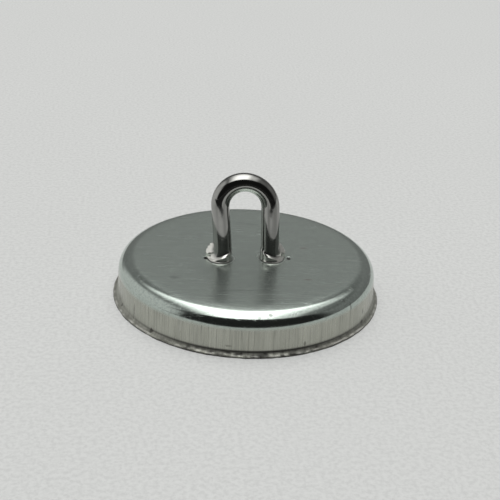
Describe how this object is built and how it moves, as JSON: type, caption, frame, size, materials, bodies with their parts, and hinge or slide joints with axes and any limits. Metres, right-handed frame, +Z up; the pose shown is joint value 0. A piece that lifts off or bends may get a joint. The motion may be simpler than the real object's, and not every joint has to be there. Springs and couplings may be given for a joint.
{
  "type": "magnet fishing magnet",
  "caption": "Low round cup magnet: a flared, plated steel cup over a ferrite ring, with a small bent-wire loop standing on its roof to tie a line to.",
  "frame": {"origin": "centre of the rim plane, which is the pulling face, on the cup's axis", "axes": "+Z up through the roof and the loop; +X across the loop's two legs, towards the right leg; +Y through the loop's eye"},
  "size_m": [0.0518, 0.0518, 0.0249],
  "materials": {
    "plated_cup": "satin zinc plating over drawn sheet",
    "bright_wire": "bright plated wire",
    "ferrite": "matt ground ceramic",
    "adhesive": "cured amber adhesive",
    "potting_resin": "cured black resin"
  },
  "bodies": {
    "root": {"steel_cup": "plated_cup", "wire_loop": "bright_wire", "ferrite_ring": "ferrite", "adhesive_bed": "adhesive", "edge_filler": "potting_resin"}
  },
  "joints": []
}
